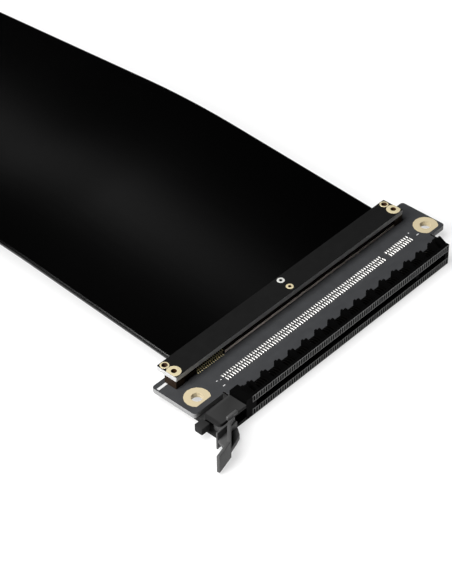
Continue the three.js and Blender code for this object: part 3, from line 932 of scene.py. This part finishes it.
@dataclass
class LatchLever:
    """Retention lever: root in the fork, walls, web, foot and saddle before it."""

    end: EndFrame
    wall_low: float = -3.9
    wall_high: float = 2.3
    root_low: float = -3.3
    root_high: float = 0.21
    pin: Point = (-54.6, -9.6, 0.8)
    boss: float = 1.9
    trunnion: float = 0.9
    pin_sides: int = 48
    pin_edge: float = 0.05
    wall_edge: float = 0.2

    def slab(self, bm: bmesh.types.BMesh, points: Sequence[tuple[float, float]], low: float,
             high: float, bevel: float = 0.12) -> None:
        """Adds a flat plan outline drawn from one height to another."""
        outline = [self.end.at(x, y, low) for x, y in points]
        lift = Vector((0, 0, (high - low) * MM))
        bm.from_mesh(Shapes.prism(outline, lift, "slab", bevel * MM, 3))

    def wall(self, bm: bmesh.types.BMesh, start: tuple[float, float], end: tuple[float, float],
             thick: float, low: float, high: float) -> None:
        """Adds an upright wall along a line in plan."""
        run = Vector(end) - Vector(start)
        side = Vector((-run.y, run.x)).normalized() * (thick / 2)
        corners = [Vector(start) + side, Vector(start) - side, Vector(end) - side,
                   Vector(end) + side]
        self.slab(bm, [tuple(c) for c in corners], low, high, self.wall_edge)

    def build(self) -> None:
        """Adds the lever in place of its plain node."""
        bm = bmesh.new()
        for start, end, thick in LEVER_WALLS:
            self.wall(bm, start, end, thick, self.wall_low, self.wall_high)
        for plan, low, high, bevel in LEVER_SLABS:
            self.slab(bm, plan, low, high, bevel)
        self.slab(bm, LEVER_ROOT, self.root_low, self.root_high)
        x, y, reach = self.pin
        angles = [2 * math.pi * i / self.pin_sides for i in range(self.pin_sides)]
        for radius, bottom, top in ((self.boss, self.root_low, self.root_high),
                                    (self.trunnion, self.root_low - reach, self.root_high + reach)):
            ring = [(x + radius * math.cos(a), y + radius * math.sin(a)) for a in angles]
            self.slab(bm, ring, bottom, top, self.pin_edge)
        mesh = Shapes.finish(bm, "latch_lever", 35.0)
        add_piece("latch_lever", mesh, LEVER, Body.LATCH, ("slot_latch",))

    def dress(self) -> None:
        """Finishes the CAD node that it stands for."""
        dress_node("slot_latch", LEVER)


# Rows of leads that show beside the strip: name, first place in Y and Z, and seed.
LEAD_ROWS = (("lower_leads", 7.95, 0.0, 21), ("upper_leads", 8.3, 1.52, 22))


@dataclass
class CableEnd:
    """Strip, connector halves and eyelets at one end."""

    end: EndFrame
    rows: RowTree
    lead_start: float = -34.9
    lead_count: int = 14
    lead_pitch: float = 0.8
    lead_jitter: float = 0.01
    lead_path: Path = ((-0.75, 0.0), (-0.2, 0.0), (0.0, 0.25), (0.05, 0.9), (0.35, 1.05))
    lead_half: float = 0.13
    lead_thick: float = 0.12
    ledge: Block = ((-33.8, 44.6, 7.62, 7.97), 0.02, 0.75, 0.08)

    def lead(self) -> bpy.types.Mesh:
        """One connector lead: foot on the board, bend and stub into the body."""
        return Shapes.ribbon(self.lead_path, self.lead_half, self.lead_thick, self.end.along, 1.0,
                             "lead")

    def build(self) -> None:
        """Adds the leads that show and the light ledge beside them."""
        prefix = self.end.name
        for name, y, z, seed in LEAD_ROWS:
            start = self.end.at(self.lead_start, y, z)
            self.rows.run(f"{prefix}_{name}", self.lead(), start, COMB, Slot.GOLD,
                          **plain_row(self.lead_count, self.lead_pitch, seed, self.lead_jitter))
        ledge = self.end.block(f"{prefix}_ledge", *self.ledge)
        add_piece(f"{prefix}_ledge", ledge, LEDGE)

    def dress(self) -> None:
        """Finishes the CAD nodes."""
        prefix = self.end.name
        dress_node(f"{prefix}_strip", STRIP, 0.06)
        dress_node(f"{prefix}_board_socket", SOCKET, 0.06)
        dress_node(f"{prefix}_strip_plug", SOCKET, 0.06)
        for side in ("left", "right"):
            dress_node(f"{prefix}_large_eyelet_{side}", EYELET, 0.03)
            dress_node(f"{prefix}_small_eyelet_{side}", EYELET, 0.03)
        dress_node(f"{prefix}_middle_eyelet_front", EYELET, 0.02)
        dress_node(f"{prefix}_middle_eyelet_back", PALE_TIN, 0.02)


@dataclass
class Cable:
    """Sheath and the two signal cables in it."""

    slot: EndFrame
    plug: EndFrame
    left: float = -48.0
    right: float = 43.6
    length: float = 198.5
    bend: float = 40.0
    rise: float = 0.0648
    start: Point = (0.0, 16.0, 1.54)
    thick: float = 1.9
    wall: float = 0.3
    steps: int = 120
    arc: int = 10
    weld_m: float = 1e-7

    def route(self, s: float) -> tuple[Vector, Vector]:
        """Returns the centre line's place and its upward normal at a length along it."""
        pitch = math.atan(self.rise)
        drop = (self.slot.origin.z - self.plug.origin.z) / MM
        lead = (self.length - self.bend - drop / math.sin(pitch)) / 2
        radius = self.bend / (2 * pitch)
        risen = min(s, lead)
        turn = pitch - min(max(s - lead, 0.0), self.bend) / radius
        fallen = max(s - lead - self.bend, 0.0)
        y = (risen + fallen) * math.cos(pitch) + radius * (math.sin(pitch) - math.sin(turn))
        z = (risen - fallen) * math.sin(pitch) + radius * (math.cos(turn) - math.cos(pitch))
        middle = (self.left + self.right) / 2
        place = self.slot.at(middle, self.start[1] + y, self.start[2] + z)
        return place, Vector((0.0, -math.sin(turn), math.cos(turn)))

    def pill(self, place: Vector, up: Vector, inset: float) -> list[Vector]:
        """Returns a flat cross-section with round sides."""
        r = self.thick / 2 - inset
        run = (self.right - self.left) / 2 - inset - r
        points = []
        for side in (1.0, -1.0):
            for i in range(self.arc + 1):
                angle = side * (-math.pi / 2 + math.pi * i / self.arc)
                x = side * (run + r * math.cos(angle))
                points.append(place + (Vector((x, 0, 0)) + up * (r * math.sin(angle))) * MM)
        return points

    def build(self) -> None:
        """Adds the sheath's smooth skin, hollow as the CAD node is."""
        marks = [self.length * i / self.steps for i in range(self.steps + 1)]
        outer = [self.pill(*self.route(s), 0.0) for s in marks]
        inner = [self.pill(*self.route(s), self.wall) for s in reversed(marks)]
        mesh = Shapes.sweep([*outer, *inner, outer[0]], "cable_skin", True, 50.0)
        bm = bmesh.new()
        bm.from_mesh(mesh)
        bmesh.ops.remove_doubles(bm, verts=bm.verts, dist=self.weld_m)
        add_piece("cable_skin", Shapes.finish(bm, "cable_skin", 50.0), SHEATH,
                  replaces=("cable_sheath",))

    def dress(self) -> None:
        """Finishes the CAD nodes."""
        dress_node("upper_signal_cable", SIGNAL)
        dress_node("lower_signal_cable", SIGNAL)


@dataclass
class PlugBoard:
    """Plug board with gold fingers on both faces of its tongue."""

    end: EndFrame
    rows: RowTree
    card: CardRow = field(default_factory=CardRow)
    tip: float = -7.45
    margin: float = 1.35
    finger: float = 5.6
    finger_half: float = 0.35
    gilt: float = 0.03
    thick: float = 1.6

    def pad(self, side: float) -> bpy.types.Mesh:
        """One gold finger with a round inner end."""
        half = self.finger_half
        sweep = [(half * math.cos(a), -self.finger + half + half * math.sin(a))
                 for a in (math.pi + math.pi * i / 6 for i in range(7))]
        outline = [(half, 0.0), (-half, 0.0), *sweep]
        points = [Vector((x, y, 0.0)) * MM for x, y in outline]
        return Shapes.prism(points, Vector((0, 0, side * self.gilt * MM)), "finger")

    def build(self) -> None:
        """Adds the fingers."""
        edge = self.tip + self.margin
        for name, z, side, seed in (("upper_fingers", 0.0, 1.0, 31),
                                    ("lower_fingers", -self.thick, -1.0, 32)):
            self.rows.run(name, self.pad(side), self.end.at(self.card.first, edge, z), GOLD,
                          Slot.GOLD, **self.card.values(seed))

    def dress(self) -> None:
        """Finishes the CAD nodes."""
        dress_node("plug_board", BOARD, 0.06)


# Studio


@dataclass(frozen=True)
class Lamp:
    """A soft square or long lamp aimed at a point, in metres from the slot frame's origin."""

    name: str
    place: Point
    aim: Point
    size: tuple[float, float]
    power: float
    long_axis: Point = (1.0, 0.0, 0.0)

    def build(self, origin: Vector) -> None:
        """Adds the lamp round that origin."""
        data = bpy.data.lights.new(self.name, "AREA")
        data.shape = "RECTANGLE"
        data.size, data.size_y = self.size
        data.energy = self.power
        made = bpy.data.objects.new(self.name, data)
        bpy.context.scene.collection.objects.link(made)
        made.location = origin + Vector(self.place)
        back = (made.location - origin - Vector(self.aim)).normalized()
        long = Vector(self.long_axis)
        long = (long - back * long.dot(back)).normalized()
        turn = Matrix((long.cross(back), long, back)).transposed()
        made.rotation_euler = turn.to_euler()


@dataclass
class Studio:
    """Floor, world, lamps and camera."""

    end: EndFrame
    azimuth: float = -46.69
    elevation: float = 40.82
    roll: float = -1.08
    target: Point = (-14.13, 25.47, 0.0)
    distance_m: float = 0.59514
    focal_px: float = 2005.0
    long_side_px: float = 584.0
    sensor: float = 36.0
    glow: float = 0.62
    dim: float = 0.006
    floor_half_m: float = 12.0
    floor_top_m: float = -0.0002
    floor_deep_m: float = 0.01

    def camera(self) -> None:
        """Adds the camera at the photograph's place."""
        az, el, roll = (math.radians(v) for v in (self.azimuth, self.elevation, self.roll))
        ahead = Vector((math.cos(el) * math.sin(-az), math.cos(el) * math.cos(az), -math.sin(el)))
        side = ahead.cross(Vector((0, 0, 1))).normalized()
        up = side.cross(ahead)
        right = side * math.cos(roll) + up * math.sin(roll)
        above = up * math.cos(roll) - side * math.sin(roll)
        data = bpy.data.cameras.new("camera")
        data.sensor_width = self.sensor
        data.lens = self.focal_px / self.long_side_px * self.sensor
        data.clip_start, data.clip_end = 0.01, 100.0
        made = bpy.data.objects.new("camera", data)
        bpy.context.scene.collection.objects.link(made)
        turn = Matrix((right, above, -ahead)).transposed()
        place = self.end.at(*self.target) - ahead * self.distance_m
        made.matrix_world = Matrix.Translation(place) @ turn.to_4x4()
        bpy.context.scene.camera = made

    def floor(self) -> None:
        """Adds a wide white floor that still shows the object's shadow."""
        half = self.floor_half_m
        outline = [Vector((x, y, self.floor_top_m)) for x, y in
                   ((-half, -half), (half, -half), (half, half), (-half, half))]
        mesh = Shapes.prism(outline, Vector((0, 0, -self.floor_deep_m)), "floor")
        made = bpy.data.objects.new("floor", mesh)
        bpy.context.scene.collection.objects.link(made)
        material = bpy.data.materials.new("floor_white")
        g = Graph(material)
        path = g.node("ShaderNodeLightPath")
        seen = g.maths("MAXIMUM", g.out(path, "Is Camera Ray"), g.out(path, "Is Transmission Ray"))
        seen = g.maths("MAXIMUM", seen, g.out(path, "Is Glossy Ray"))
        plain = g.node("ShaderNodeBsdfDiffuse", {}, {"Color": grey(240)})
        bright = g.node("ShaderNodeEmission", {}, {"Color": (1.0, 1.0, 1.0), "Strength": 1.0})
        mixed = g.node("ShaderNodeMixShader", {}, {0: seen * self.glow, 1: plain.outputs[0],
                                                   2: bright.outputs[0]})
        g.node("ShaderNodeOutputMaterial", {}, {0: mixed.outputs[0]})
        mesh.materials.append(material)

    def world(self) -> None:
        """Sets a white surround that lights the object only faintly."""
        world = bpy.data.worlds.new("studio")
        bpy.context.scene.world = world
        g = Graph(world)
        path = g.node("ShaderNodeLightPath")
        faint = g.node("ShaderNodeBackground", {}, {"Strength": self.dim})
        white = g.node("ShaderNodeBackground", {}, {"Color": (1.0, 1.0, 1.0)})
        mixed = g.node("ShaderNodeMixShader", {}, {
            0: path.outputs["Is Camera Ray"], 1: faint.outputs[0], 2: white.outputs[0],
        })
        g.node("ShaderNodeOutputWorld", {}, {0: mixed.outputs[0]})

    def build(self) -> None:
        """Adds everything round the object."""
        self.camera()
        self.floor()
        self.world()
        for lamp in LAMPS:
            lamp.build(self.end.origin)
        bpy.context.scene.view_settings.view_transform = "Standard"


LAMPS = (
    Lamp("key", (-1.1, 0.15, 0.75), (0.0, 0.0, 0.0), (0.7, 0.7), 22.0),
    Lamp("overhead", (-0.55, 0.25, 1.4), (0.0, 0.05, 0.0), (0.8, 0.8), 24.0),
    Lamp("cable_band", (0.735, 0.68, 1.0), (0.0, 0.03, 0.0), (0.11, 0.28), 0.027, (0.0, 1.0, 0.0)),
    Lamp("cable_band_far", (0.835, 1.13, 1.0), (0.0, 0.1, 0.0), (0.15, 0.68), 0.08,
         (0.28, 1.0, 0.0)),
)

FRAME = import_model()


def main() -> None:
    """Builds the scene."""
    logging.basicConfig(level=logging.INFO)
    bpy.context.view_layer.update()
    rows = RowTree()
    slot = EndFrame.slot_end()
    plug = EndFrame.plug_end(slot)
    Studio(slot).build()
    assemblies = [
        MainBoard(slot, rows), SlotHousing(slot, rows), LatchLever(slot),
        CableEnd(slot, rows), Cable(slot, plug), CableEnd(plug, rows), PlugBoard(plug, rows),
    ]
    for assembly in assemblies:
        assembly.build()
        assembly.dress()
        LOG.info("built %s", type(assembly).__name__)
    bpy.data.node_groups.remove(rows.tree)


if __name__ == "__main__":
    main()
